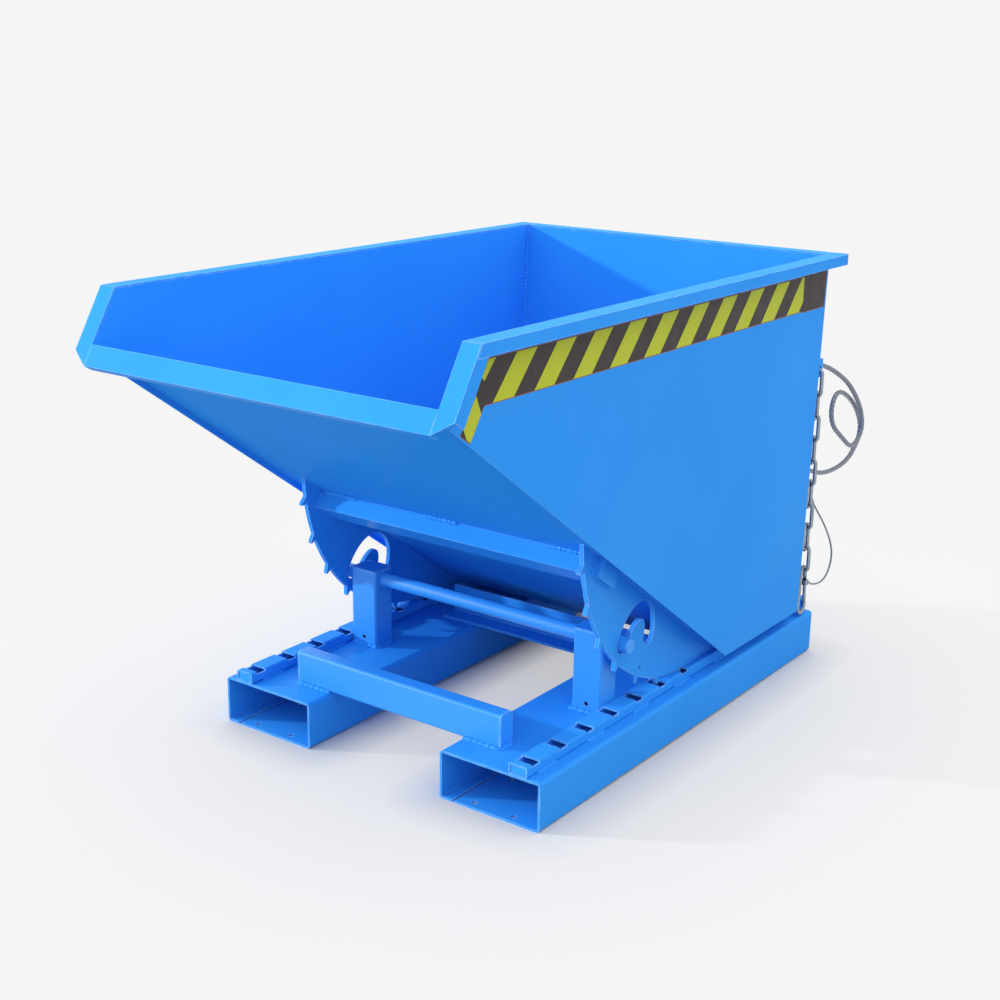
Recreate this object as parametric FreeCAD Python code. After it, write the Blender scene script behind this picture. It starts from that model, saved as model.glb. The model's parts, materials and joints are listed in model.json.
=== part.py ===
import FreeCAD, Part
import math
import os
from FreeCAD import Vector

# Tipping skip that rolls off on toothed rockers. Millimetres, +X right, +Y to the rear, +Z up.
# While building, y is counted from the front face of the fork pockets and z from the ground.

# Overall sizes
base_length = 988.0
rim_width = 770.0
rim_height = 834.0
overrun = 5.0
fit_gap = 0.3
pin_clearance = 0.05
wire_sides = 8
cord_sides = 6
crown_steps = 6
bow_steps = 8

# Fork pockets: folded sheet, open below between the front and rear shoe flaps
pocket_width = 204.0
pocket_height = 88.0
pocket_sheet = 4.0
pocket_bend = 7.0
front_shoe_length = 155.0
rear_shoe_length = 188.0
seam_flange = 27.0
seam_gap = 5.0

# Castor holes in the shoe flaps, a plate pattern of 80 x 105
castor_hole = 11.0
castor_spacing_x = 80.0
castor_spacing_y = 105.0
castor_edge = 16.5

# Slotted rails on the pockets
rail_width = 37.0
rail_height = 20.5
rail_wall = 3.0
rail_bend = 4.0
rail_inset = 26.5
rail_slot_length = 22.0
rail_slot_depth = 5.0
rail_slot_first = 24.5
rail_slot_count = 7
rail_cap_sheet = 3.0
rail_cap_recess = 1.5

# Front cross tube
cross_tube_y = 60.0
cross_tube_depth = 33.0
cross_tube_height = 62.0
cross_tube_wall = 3.0
cross_tube_bend = 6.0
cross_end_gap = 59.0
cap_sheet = 3.0

# Cross angle under the tub and flat bar at the rear
angle_setback = 133.0
angle_flange = 43.0
angle_web = 60.0
angle_sheet = 5.0
rear_bar_gap = 12.0
rear_bar_width = 64.0
rear_bar_sheet = 6.0

# Posts and the tie axle that they carry
post_width = 61.0
post_depth = 50.0
post_wall = 4.0
post_bend = 5.0
post_rail_gap = 0.5
post_rise = 20.0
post_drain = 9.0
post_drain_rise = 16.0
axle_diameter = 26.9
axle_depth = 34.0
axle_angle = 42.5
axle_overhang = 18.0
axle_bevel = 2.0

# Rolling motion of the tub: radius, farthest tip and what the slot leaves past it
roll_radius = 337.0
tip_limit = 55.0
slot_overtravel = 3.0

# Rockers
rocker_sheet = 8.0
rocker_inset = 13.5
rocker_heel_gap = 54.5
rocker_slot_width = 33.6
rocker_slot_steps = 8
tooth_angle = 13.6
tooth_height = 13.0
tooth_root = 14.0
tooth_tip = 3.5
tooth_sink = 4.0
jig_hole = 9.0
jig_hole_y = 362.0
jig_hole_z = 158.0

# Tub
tub_sheet = 3.0
rim_flange = 30.0
rim_drop = 20.0
rim_overhang_rear = 25.0
rim_corner = 8.0
floor_clearance = 8.0
floor_bend_offset = 115.5
floor_angle = 35.45
wall_skirt = 11.4
wall_skirt_flat = 4.0
rear_bottom_gap = 79.0
rear_lean = 31.0
front_edge_length = 99.8
front_lean = 31.0
front_return = 25.0
lip_face = 38.0
lip_return = 18.0

# Box bar under the floor, through both rockers
stiffener_setback = 46.0
stiffener_width = 60.0
stiffener_depth = 34.0
stiffener_wall = 3.0
stiffener_overhang = 14.0

# Plugs on the roll axis
plug_diameter = 20.0
plug_head = 28.0
plug_head_sheet = 2.0
plug_seat = 0.1

# Latch at the rear: lever on the tub, catch on the rear bar
latch_standoff = 19.7
latch_pivot_z = 190.0
latch_sheet = 10.0
latch_ear_sheet = 8.0
latch_side_gap = 1.0
latch_pin = 12.0
latch_boss = 24.0
latch_shank = 14.0
latch_nose = 8.0
latch_nose_reach = 18.0
latch_arm = 42.0
latch_arm_height = 16.0
latch_eye = 9.0
latch_open_angle = 15.0
latch_ear_height = 40.0
catch_pin = 12.0
catch_setback = 6.0
catch_z = 116.0
catch_lug_sheet = 8.0
catch_lug_width = 26.0
catch_lug_gap = 14.0
catch_play = 3.0
pin_head = 18.0
pin_head_sheet = 3.0

# Safety chain, its tab on the tub and the lug on the base
chain_inset = 10.0
chain_standoff = 15.6
chain_tab_z = 608.0
chain_tab_sheet = 6.0
chain_tab_hole = 15.0
chain_tab_height = 36.0
chain_tab_reach = 15.0
chain_wire = 8.0
chain_pitch = 46.4
chain_slack = 0.8
chain_inner_width = 12.0
chain_count = 9
lug_offset = 10.0
lug_sheet = 6.0
lug_rear_gap = 26.0
lug_width = 40.0
lug_height = 34.0
lug_hole = 18.0
lug_hole_rise = 19.0

# Snap hook
hook_wire = 8.0
hook_length = 100.0
hook_top_radius = 9.0
hook_bow_radius = 15.0
hook_nose = 22.0
hook_boss = 14.0
hook_boss_width = 12.0
gate_wire = 7.0
gate_height = 64.0
gate_pin = 3.0
gate_tongue = 4.0
gate_tongue_round = 10.0
gate_play = 0.5
gate_end_gap = 1.0

# Release rope, stowed in a loop between two ferrules on the rear wall.
# Places and routes count x and y from the chain, and z from the ground.
rope_diameter = 10.0
rope_ferrule = 14.0
rope_ferrule_length = 26.0
rope_lead = 30.0
rope_upper = (-14.0, 612.0)
rope_lower = (-29.0, 386.0)
rope_route = [
    (-3.0, 102.0, 587.0),
    (5.0, 163.0, 541.0),
    (10.0, 225.0, 474.0),
    (9.0, 210.0, 426.0),
    (6.0, 162.0, 413.0),
    (1.0, 96.0, 470.0),
    (-1.0, 99.0, 516.0),
    (-5.0, 137.0, 541.0),
    (-9.0, 192.0, 522.0),
    (-10.0, 234.0, 474.0),
    (-11.0, 250.0, 424.0),
    (-12.0, 234.0, 386.0),
    (-14.0, 196.0, 364.0),
    (-17.0, 149.0, 357.0),
    (-23.0, 104.0, 366.0),
]

# Lanyard between a chain link and the snap hook
lanyard_diameter = 4.0
lanyard_ferrule = 8.0
lanyard_ferrule_length = 12.0
lanyard_lead = 30.0
lanyard_link = 5
lanyard_drop = 15.0
lanyard_upper_fall = 45.0
lanyard_lower_fall = 20.0
lanyard_route = [
    (1.0, 88.0, 262.0),
    (3.0, 124.0, 212.0),
    (3.0, 131.0, 174.0),
    (2.0, 106.0, 143.0),
]
bend_share = 0.45

# Places that follow from the sizes above
wall_outer_x = rim_width / 2 - rim_flange
wall_inner_x = wall_outer_x - tub_sheet
base_width = 2 * wall_inner_x
rail_outer_x = base_width / 2 - rail_inset
rail_inner_x = rail_outer_x - rail_width
post_outer_x = rail_inner_x - post_rail_gap
cross_length = 2 * (rail_inner_x - cross_end_gap)
rocker_outer_x = rail_outer_x - rocker_inset
rail_top = pocket_height + rail_height
rail_slot_pitch = roll_radius * math.radians(tooth_angle)
contact_y = rail_slot_first + (rail_slot_count - 1) * rail_slot_pitch
roll_z = rail_top + roll_radius
floor_bend_y = contact_y + floor_bend_offset
angle_y = floor_bend_y - angle_setback
arc_radius = roll_radius - fit_gap
heel_z = rail_top + fit_gap
floor_z = rail_top + floor_clearance
floor_slope = math.tan(math.radians(floor_angle))
floor_cos = math.cos(math.radians(floor_angle))
floor_sin = math.sin(math.radians(floor_angle))
lean_sin = math.sin(math.radians(front_lean))
lean_cos = math.cos(math.radians(front_lean))
wall_top = rim_height - tub_sheet
wall_bottom = floor_z - wall_skirt_flat
rocker_inner_x = rocker_outer_x - rocker_sheet
axle_half = rocker_outer_x + axle_overhang
axle_y = contact_y - (roll_radius - axle_depth) * math.sin(math.radians(axle_angle))
axle_z = roll_z - (roll_radius - axle_depth) * math.cos(math.radians(axle_angle))
post_top = axle_z + post_rise
rear_bar_y = base_length - rear_bar_gap - rear_bar_width
rear_bottom_y = base_length - rear_bottom_gap
rear_top_y = rear_bottom_y + rear_lean
chain_x = wall_outer_x - chain_inset
lug_y = base_length - lug_rear_gap
lug_x = chain_x - lug_offset
lip_z = rim_height - front_edge_length * lean_cos
lip_y = floor_bend_y - (lip_z - floor_z - tub_sheet / floor_cos) / floor_slope
front_top_y = lip_y + front_edge_length * lean_sin


def floor_line(y, drop=0.0):
    """Height of the sloped floor's underside at y; drop is measured square to the floor."""
    return floor_z + (floor_bend_y - y) * floor_slope - drop / floor_cos


def rear_face(z):
    """y of the rear wall's outer face at height z."""
    share = (z - wall_bottom) / (wall_top - wall_bottom)
    return rear_bottom_y + (rear_top_y - rear_bottom_y) * share


latch_pivot_y = rear_face(latch_pivot_z) + latch_standoff
catch_y = latch_pivot_y - catch_setback
chain_y = rear_face(chain_tab_z) + chain_standoff


def front_point(down, behind):
    """(y, z) at a distance down the leaning front plane and a distance behind it."""
    y = front_top_y - down * lean_sin + behind * lean_cos
    z = rim_height - down * lean_cos - behind * lean_sin
    return (y, z)


def front_down(z, behind):
    """Distance down the front plane, set back by behind, at which it is at height z."""
    return (rim_height - z - behind * lean_sin) / lean_cos


def front_meets_floor(behind, drop):
    """Distance down the front plane, set back by behind, where it meets a line under the floor."""
    y0, z0 = front_point(0, behind)
    rise = lean_cos + lean_sin * floor_slope
    return (z0 - floor_line(y0, drop)) / rise


# The part's origin is under the middle of its length
lip_down = front_meets_floor(0, -tub_sheet)
lip_front_y = front_point(lip_down + lip_face, 0)[0]
mid_y = (lip_front_y + base_length) / 2


def save(name, shape):
    """Move a piece to the part's origin and write it."""
    placed = shape.copy()
    placed.translate(Vector(0, -mid_y, 0))
    if not placed.isValid():
        print("not valid:", name)
    placed.exportStep("parts/" + name + ".step")
    print(name, len(placed.Solids), round(placed.Volume))


def save_pair(name, right):
    """Write a right-hand piece and its mirror image."""
    save(name + "_right", right)
    save(name + "_left", mirrored(right))


def mirrored(shape):
    return shape.mirror(Vector(0, 0, 0), Vector(1, 0, 0))


def both(right):
    """A right-hand piece and its mirror image as separate solids of one group."""
    return Part.makeCompound([right, mirrored(right)])


def block(x0, x1, y0, y1, z0, z1):
    return Part.makeBox(x1 - x0, y1 - y0, z1 - z0, Vector(x0, y0, z0))


def yz_prism(points, x0, x1):
    """Outline of (y, z) points, pushed along X."""
    corners = [Vector(x0, y, z) for y, z in points]
    face = Part.Face(Part.makePolygon(corners + corners[:1]))
    return face.extrude(Vector(x1 - x0, 0, 0))


def x_rod(diameter, x0, x1, y, z):
    return Part.makeCylinder(diameter / 2, x1 - x0, Vector(x0, y, z), Vector(1, 0, 0))


def rounded(shape, radius, axis):
    """Round the edges that run along the given axis."""
    edges = [e for e in shape.Edges if abs(e.tangentAt(e.FirstParameter).dot(axis)) > 0.99]
    return shape.makeFillet(radius, edges)


def rect_tube(x0, x1, y0, y1, z0, z1, wall, bend, axis):
    """Rounded rectangular tube along X, Y or Z, open at both ends."""
    outer = rounded(block(x0, x1, y0, y1, z0, z1), bend, axis)
    grow = [overrun if abs(a) > 0.5 else -wall for a in axis]
    inner = block(x0 - grow[0], x1 + grow[0], y0 - grow[1], y1 + grow[1], z0 - grow[2], z1 + grow[2])
    return outer.cut(inner)


def fork_pocket():
    """Pocket at the right: folded box whose bottom is left open between the shoe flaps."""
    x1 = base_width / 2
    x0 = x1 - pocket_width
    along = Vector(0, 1, 0)
    box = rect_tube(x0, x1, 0, base_length, 0, pocket_height, pocket_sheet, pocket_bend, along)
    middle = block(x0 - overrun, x1 + overrun, front_shoe_length, base_length - rear_shoe_length,
                   -overrun, pocket_sheet)
    seam = block(x0 + seam_flange, x0 + seam_flange + seam_gap, -overrun, base_length + overrun,
                 -overrun, pocket_sheet + overrun)
    box = box.cut(middle).cut(seam)
    for y in castor_rows():
        for side in (-1, 1):
            x = (x0 + x1) / 2 + side * castor_spacing_x / 2
            hole = Part.makeCylinder(castor_hole / 2, pocket_sheet + 2 * overrun, Vector(x, y, -overrun))
            box = box.cut(hole)
    return box


def castor_rows():
    front = castor_edge
    rear = base_length - castor_edge
    return [front, front + castor_spacing_y, rear - castor_spacing_y, rear]


def rail():
    """Slotted box rail at the right."""
    x0 = rail_outer_x - rail_width
    tube = rect_tube(x0, rail_outer_x, 0, base_length, pocket_height, rail_top, rail_wall, rail_bend,
                     Vector(0, 1, 0))
    for index in range(rail_slot_count):
        y = rail_slot_first + index * rail_slot_pitch
        slot = block(x0 - overrun, rail_outer_x + overrun, y - rail_slot_length / 2, y + rail_slot_length / 2,
                     rail_top - rail_slot_depth, rail_top + overrun)
        tube = tube.cut(slot)
    return tube


def rail_caps():
    """Plates set into both ends of the right rail."""
    x0 = rail_outer_x - rail_width + rail_wall
    x1 = rail_outer_x - rail_wall
    z0 = pocket_height + rail_wall
    z1 = rail_top - rail_wall
    caps = []
    for y in (rail_cap_recess, base_length - rail_cap_recess - rail_cap_sheet):
        caps.append(block(x0, x1, y, y + rail_cap_sheet, z0, z1))
    return caps


def front_cross_tube():
    half = cross_length / 2 - cap_sheet
    return rect_tube(-half, half, cross_tube_y, cross_tube_y + cross_tube_depth, pocket_height,
                     pocket_height + cross_tube_height, cross_tube_wall, cross_tube_bend, Vector(1, 0, 0))


def cross_tube_cap():
    half = cross_length / 2
    plate = block(half - cap_sheet, half, cross_tube_y, cross_tube_y + cross_tube_depth, pocket_height,
                  pocket_height + cross_tube_height)
    return rounded(plate, cross_tube_bend, Vector(1, 0, 0))


def cross_angle():
    y1 = angle_y + angle_flange
    z1 = pocket_height + angle_sheet
    outline = [
        (angle_y, pocket_height),
        (y1, pocket_height),
        (y1, pocket_height + angle_web),
        (y1 - angle_sheet, pocket_height + angle_web),
        (y1 - angle_sheet, z1),
        (angle_y, z1),
    ]
    return yz_prism(outline, -cross_length / 2, cross_length / 2)


def rear_bar():
    return block(-cross_length / 2, cross_length / 2, rear_bar_y, rear_bar_y + rear_bar_width, pocket_height,
                 pocket_height + rear_bar_sheet)


def post():
    """Right post: box tube with the axle's holes and a drain hole in front."""
    x0 = post_outer_x - post_width
    y0 = axle_y - post_depth / 2
    y1 = axle_y + post_depth / 2
    tube = rect_tube(x0, post_outer_x, y0, y1, pocket_height, post_top - cap_sheet, post_wall, post_bend,
                     Vector(0, 0, 1))
    bore = x_rod(axle_diameter + fit_gap, x0 - overrun, post_outer_x + overrun, axle_y, axle_z)
    low = Vector(post_outer_x - post_width / 2, y0 - overrun, pocket_height + post_drain_rise)
    drain = Part.makeCylinder(post_drain / 2, post_wall + 2 * overrun, low, Vector(0, 1, 0))
    return tube.cut(bore).cut(drain)


def post_cap():
    plate = block(post_outer_x - post_width, post_outer_x, axle_y - post_depth / 2, axle_y + post_depth / 2,
                  post_top - cap_sheet, post_top)
    return rounded(plate, post_bend, Vector(0, 0, 1))


def tie_axle():
    rod = x_rod(axle_diameter, -axle_half, axle_half, axle_y, axle_z)
    rims = [e for e in rod.Edges if isinstance(e.Curve, Part.Circle)]
    return rod.makeChamfer(axle_bevel, rims)


def roll_point(y, z, angle):
    """Where a point fixed on the base sits on the tub, once the tub has rolled by angle in degrees."""
    turn = math.radians(angle)
    from_y = y - (contact_y - roll_radius * turn)
    from_z = z - roll_z
    back_y = from_y * math.cos(turn) + from_z * math.sin(turn)
    back_z = from_z * math.cos(turn) - from_y * math.sin(turn)
    return Vector(0, contact_y + back_y, roll_z + back_z)


def axle_slot(x0, x1):
    """Horseshoe that the tie axle runs through while the tub rolls."""
    half = rocker_slot_width / 2
    last = tip_limit + slot_overtravel
    step = last / rocker_slot_steps
    nudge = step / rocker_slot_steps
    outer = []
    inner = []
    ends = []
    for index in range(rocker_slot_steps + 1):
        angle = index * step
        here = roll_point(axle_y, axle_z, angle)
        along = roll_point(axle_y, axle_z, angle + nudge) - roll_point(axle_y, axle_z, angle - nudge)
        along.normalize()
        across = Vector(0, -along.z, along.y)
        outer.append(here + across * half)
        inner.append(here - across * half)
        ends.append((here, along))
    first_tip = ends[0][0] - ends[0][1] * half
    last_tip = ends[-1][0] + ends[-1][1] * half
    upper = Part.BSplineCurve()
    upper.interpolate(outer)
    lower = Part.BSplineCurve()
    lower.interpolate(inner)
    edges = [
        upper.toShape(),
        Part.Arc(outer[-1], last_tip, inner[-1]).toShape(),
        lower.toShape(),
        Part.Arc(inner[0], first_tip, outer[0]).toShape(),
    ]
    face = Part.Face(Part.Wire(Part.__sortEdges__(edges)))
    face.translate(Vector(x0, 0, 0))
    return face.extrude(Vector(x1 - x0, 0, 0))


def arc_point(angle, radius):
    """(y, z) on the rolling circle, angle in radians from its lowest point towards the front."""
    return (contact_y - radius * math.sin(angle), roll_z - radius * math.cos(angle))


def arc_end():
    """Angle at which the rocker's arc meets the floor."""
    reach_y = contact_y - floor_bend_y
    above = roll_z - floor_z
    offset = (above + reach_y * floor_slope) * floor_cos
    return math.acos(offset / arc_radius) + math.radians(floor_angle)


def rocker_tooth(index):
    """Tooth with a steep flank towards the rear, in mesh with a rail slot."""
    middle = index * math.radians(tooth_angle)
    half = tooth_root / 2 / roll_radius
    top = arc_radius + tooth_height
    root = arc_radius - tooth_sink
    outline = [
        arc_point(middle - half, root),
        arc_point(middle - half, top),
        arc_point(middle - half + tooth_tip / top, top),
        arc_point(middle + half, arc_radius),
        arc_point(middle + half, root),
    ]
    return yz_prism(outline, rocker_inner_x, rocker_outer_x)


def rocker():
    """Right rocker: plate under the floor with a toothed arc, the axle's slot and the bar's notch."""
    end = arc_end()
    heel_y = rear_bottom_y - rocker_heel_gap
    corners = [
        (heel_y, heel_z),
        (contact_y, heel_z),
        arc_point(end, arc_radius),
        (floor_bend_y, floor_z),
        (heel_y, floor_z),
    ]
    points = [Vector(rocker_inner_x, y, z) for y, z in corners]
    mid_arc = Vector(rocker_inner_x, *arc_point(end / 2, arc_radius))
    edges = [
        Part.makeLine(points[0], points[1]),
        Part.Arc(points[1], mid_arc, points[2]).toShape(),
        Part.makeLine(points[2], points[3]),
        Part.makeLine(points[3], points[4]),
        Part.makeLine(points[4], points[0]),
    ]
    plate = Part.Face(Part.Wire(edges)).extrude(Vector(rocker_sheet, 0, 0))
    for index in range(rail_slot_count):
        plate = plate.fuse(rocker_tooth(index))
    plate = plate.removeSplitter()
    x0 = rocker_inner_x - overrun
    x1 = rocker_outer_x + overrun
    plate = plate.cut(axle_slot(x0, x1))
    plate = plate.cut(yz_prism(stiffener_outline(0), x0, x1))
    return plate.cut(x_rod(jig_hole, x0, x1, jig_hole_y, jig_hole_z))


def under_floor(along, below):
    """(y, z) at a distance down the floor from the bar's front edge, and a distance below the floor."""
    front_y = arc_point(arc_end(), arc_radius)[0] + stiffener_setback
    y = front_y + along * floor_cos - below * floor_sin
    z = floor_line(front_y) - along * floor_sin - below * floor_cos
    return (y, z)


def stiffener_outline(inset):
    near = inset
    far = stiffener_width - inset
    deep = stiffener_depth - inset
    corners = [(near, inset), (far, inset), (far, deep), (near, deep)]
    return [under_floor(along, down) for along, down in corners]


def stiffener():
    half = rocker_outer_x + stiffener_overhang
    bar = yz_prism(stiffener_outline(0), -half, half)
    bore = yz_prism(stiffener_outline(stiffener_wall), -half + stiffener_wall, half - stiffener_wall)
    return bar.cut(bore)


def side_wall():
    """Right side wall with the hole on the roll axis."""
    top_front = front_point(front_down(wall_top, tub_sheet), tub_sheet)
    low_front = front_point(front_meets_floor(tub_sheet, wall_skirt), tub_sheet)
    corner_y = floor_bend_y + (floor_line(floor_bend_y, wall_skirt) - wall_bottom) / floor_slope
    outline = [
        top_front,
        low_front,
        (corner_y, wall_bottom),
        (rear_face(wall_bottom), wall_bottom),
        (rear_face(wall_top), wall_top),
    ]
    wall = yz_prism(outline, wall_inner_x, wall_outer_x)
    return wall.cut(x_rod(plug_diameter + 2 * pin_clearance, wall_inner_x - overrun, wall_outer_x + overrun,
                          contact_y, roll_z))


def tub_floor():
    """Floor folded from one sheet: flat at the rear, sloped up to the lip."""
    front_low = front_point(front_meets_floor(tub_sheet, 0), tub_sheet)
    front_high = front_point(front_meets_floor(tub_sheet, -tub_sheet), tub_sheet)
    bend_y = floor_bend_y + tub_sheet * (1 - floor_cos) / floor_sin
    inside_y = rear_face(floor_z) - tub_sheet
    outline = [
        front_low,
        (floor_bend_y, floor_z),
        (inside_y, floor_z),
        (rear_face(floor_z + tub_sheet) - tub_sheet, floor_z + tub_sheet),
        (bend_y, floor_z + tub_sheet),
        front_high,
    ]
    return yz_prism(outline, -wall_inner_x, wall_inner_x)


def rear_wall():
    outline = [
        (rear_face(floor_z) - tub_sheet, floor_z),
        (rear_face(floor_z), floor_z),
        (rear_face(wall_top), wall_top),
        (rear_face(wall_top) - tub_sheet, wall_top),
    ]
    return yz_prism(outline, -wall_inner_x, wall_inner_x)


def rim_side():
    """Right rim: sheet folded out over the wall's top and down at its outer edge."""
    x1 = rim_width / 2
    y1 = rear_top_y + rim_overhang_rear
    z0 = rim_height - rim_drop
    back = tub_sheet / lean_cos
    high = front_top_y + back
    low = high - rim_drop * lean_sin / lean_cos
    solid = yz_prism([(high, rim_height), (y1, rim_height), (y1, z0), (low, z0)], wall_inner_x, x1)
    edge = [e for e in solid.Edges if e.Length < rim_drop + fit_gap and e.CenterOfMass.y > y1 - fit_gap
            and e.CenterOfMass.x > x1 - fit_gap]
    solid = solid.makeFillet(rim_corner, edge)
    x0 = wall_inner_x - overrun
    hollow = block(x0, x1 - tub_sheet, lip_front_y, y1 - tub_sheet, z0 - overrun, wall_top)
    return solid.cut(hollow)


def rim_rear():
    y0 = rear_top_y - tub_sheet
    y1 = rear_top_y + rim_overhang_rear
    z0 = rim_height - rim_drop
    outline = [
        (y0, rim_height),
        (y1, rim_height),
        (y1, z0),
        (y1 - tub_sheet, z0),
        (y1 - tub_sheet, wall_top),
        (y0, wall_top),
    ]
    return yz_prism(outline, -wall_inner_x, wall_inner_x)


def front_edge():
    """Right front edge: flat band on the leaning plane, with a return at its outer side."""
    x1 = rim_width / 2
    outer_down = front_meets_floor(0, wall_skirt)
    inner_down = lip_down + lip_face
    corners = [(wall_inner_x, 0), (x1, 0), (x1, outer_down), (wall_inner_x, inner_down)]
    points = [Vector(x, *front_point(down, 0)) for x, down in corners]
    depth = Vector(0, tub_sheet * lean_cos, -tub_sheet * lean_sin)
    band = Part.Face(Part.makePolygon(points + points[:1])).extrude(depth)
    z1 = rim_height - rim_drop
    outline = [
        front_point(front_down(z1, tub_sheet), tub_sheet),
        front_point(outer_down, tub_sheet),
        front_point(front_meets_floor(front_return, wall_skirt), front_return),
        front_point(front_down(z1, front_return), front_return),
    ]
    return band.fuse(yz_prism(outline, x1 - tub_sheet, x1)).removeSplitter()


def lip():
    """Pouring lip: floor edge folded down on the leaning plane, with a return below."""
    low = lip_down + lip_face
    outline = [
        front_point(lip_down, 0),
        front_point(low, 0),
        front_point(low, lip_return),
        front_point(low - tub_sheet, lip_return),
        front_point(low - tub_sheet, tub_sheet),
        front_point(lip_down, tub_sheet),
    ]
    return yz_prism(outline, -wall_inner_x, wall_inner_x)


def roll_plug():
    """Plug in the right wall's hole, flush outside and headed inside."""
    seat = wall_inner_x - plug_seat
    shank = x_rod(plug_diameter, seat, wall_outer_x, contact_y, roll_z)
    head = x_rod(plug_head, seat - plug_head_sheet, seat, contact_y, roll_z)
    return shank.fuse(head).removeSplitter()


def latch_ear():
    """Right ear of the latch bracket on the rear wall."""
    x0 = latch_sheet / 2 + latch_side_gap
    z0 = latch_pivot_z - latch_ear_height / 2
    z1 = latch_pivot_z + latch_ear_height / 2
    y1 = latch_pivot_y + latch_boss / 2
    outline = [
        (rear_face(z0), z0),
        (y1, latch_pivot_z - latch_boss / 2),
        (y1, latch_pivot_z + latch_boss / 2),
        (rear_face(z1), z1),
    ]
    ear = yz_prism(outline, x0, x0 + latch_ear_sheet)
    return ear.cut(x_rod(latch_pin + 2 * pin_clearance, x0 - overrun, x0 + latch_ear_sheet + overrun,
                         latch_pivot_y, latch_pivot_z))


def headed_pin(diameter, half, y, z):
    """Pin across X with a flat head outside each end."""
    pin = x_rod(diameter, -half, half, y, z)
    for side in (-1, 1):
        x0 = min(side * half, side * (half + pin_head_sheet))
        pin = pin.fuse(hex_head(x0, x0 + pin_head_sheet, y, z))
    return pin.removeSplitter()


def hex_head(x0, x1, y, z):
    """Six-sided head across X."""
    corner = pin_head / 2 / math.cos(math.pi / 6)
    turns = [index * math.pi / 3 for index in range(6)]
    return yz_prism([(y + corner * math.cos(turn), z + corner * math.sin(turn)) for turn in turns], x0, x1)


def latch_lever():
    """Bell crank: hook below for the catch pin, arm to the rear for the rope; shown swung open."""
    half = latch_sheet / 2
    shank_y = catch_y + catch_pin / 2 + catch_play
    nose_top = catch_z - catch_pin / 2 - catch_play
    nose_z = nose_top - latch_nose
    boss = latch_boss / 2
    hook = yz_prism([
        (latch_pivot_y - boss, latch_pivot_z),
        (shank_y, nose_top),
        (shank_y - latch_nose_reach, nose_top),
        (shank_y - latch_nose_reach, nose_z),
        (shank_y + latch_shank, nose_z),
        (latch_pivot_y + boss, latch_pivot_z),
    ], -half, half)
    arm_y = latch_pivot_y + latch_arm
    arm = block(-half, half, latch_pivot_y, arm_y, latch_pivot_z - latch_arm_height / 2,
                latch_pivot_z + latch_arm_height / 2)
    lever = hook.fuse(arm)
    lever = lever.fuse(x_rod(latch_boss, -half, half, latch_pivot_y, latch_pivot_z))
    lever = lever.fuse(x_rod(latch_arm_height, -half, half, arm_y, latch_pivot_z)).removeSplitter()
    bore = x_rod(latch_pin + 2 * pin_clearance, -half - overrun, half + overrun, latch_pivot_y, latch_pivot_z)
    eye = x_rod(latch_eye, -half - overrun, half + overrun, arm_y, latch_pivot_z)
    lever = lever.cut(bore).cut(eye)
    lever.rotate(Vector(0, latch_pivot_y, latch_pivot_z), Vector(1, 0, 0), latch_open_angle)
    return lever


def catch_lug():
    """Right lug of the catch on the rear bar."""
    x0 = catch_lug_gap
    z0 = pocket_height + rear_bar_sheet
    z1 = catch_z + catch_pin
    x1 = x0 + catch_lug_sheet
    plate = block(x0, x1, catch_y - catch_lug_width / 2, catch_y + catch_lug_width / 2, z0, z1)
    return plate.cut(x_rod(catch_pin + 2 * pin_clearance, x0 - overrun, x1 + overrun, catch_y, catch_z))


def chain_tab():
    """Tab on the rear wall that the chain's top link hangs in."""
    x0 = chain_x - chain_tab_sheet / 2
    x1 = chain_x + chain_tab_sheet / 2
    z0 = chain_tab_z - chain_tab_height / 2
    z1 = chain_tab_z + chain_tab_height / 2
    y1 = chain_y + chain_tab_reach
    tab = yz_prism([(rear_face(z0), z0), (y1, z0), (y1, z1), (rear_face(z1), z1)], x0, x1)
    return tab.cut(x_rod(chain_tab_hole, x0 - overrun, x1 + overrun, chain_y, chain_tab_z))


def chain_lug():
    """Lug with a hole on the right pocket, for the snap hook."""
    x0 = lug_x - lug_sheet / 2
    x1 = lug_x + lug_sheet / 2
    z1 = pocket_height + lug_height
    plate = block(x0, x1, lug_y - lug_width / 2, lug_y + lug_width / 2, pocket_height, z1)
    return plate.cut(x_rod(lug_hole, x0 - overrun, x1 + overrun, lug_y, pocket_height + lug_hole_rise))


chain_bow = chain_inner_width / 2
chain_seat = chain_bow - math.sqrt(chain_bow**2 - (chain_tab_sheet / 2) ** 2)
chain_top = chain_tab_z - chain_tab_hole / 2 + chain_seat + chain_wire / 2 + fit_gap
chain_step = chain_pitch - chain_slack


def wire_offsets(diameter, sides):
    """Corners of a wire's outline, as distances along two axes square to it."""
    turns = [(index + 1 / 2) * 2 * math.pi / sides for index in range(sides)]
    return [(diameter / 2 * math.cos(turn), diameter / 2 * math.sin(turn)) for turn in turns]


def wire_ring(diameter, centre, aim, sides):
    """Outline of a round wire at centre, square to aim."""
    across = Vector(1, 0, 0)
    if abs(across.dot(aim)) > math.cos(math.pi / 4):
        across = Vector(0, 0, 1)
    up = aim.cross(across)
    up.normalize()
    across = up.cross(aim)
    corners = [centre + across * a + up * b for a, b in wire_offsets(diameter, sides)]
    return Part.makePolygon(corners + corners[:1])


def wire_area(diameter, sides):
    return sides / 2 * (diameter / 2) ** 2 * math.sin(2 * math.pi / sides)


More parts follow.
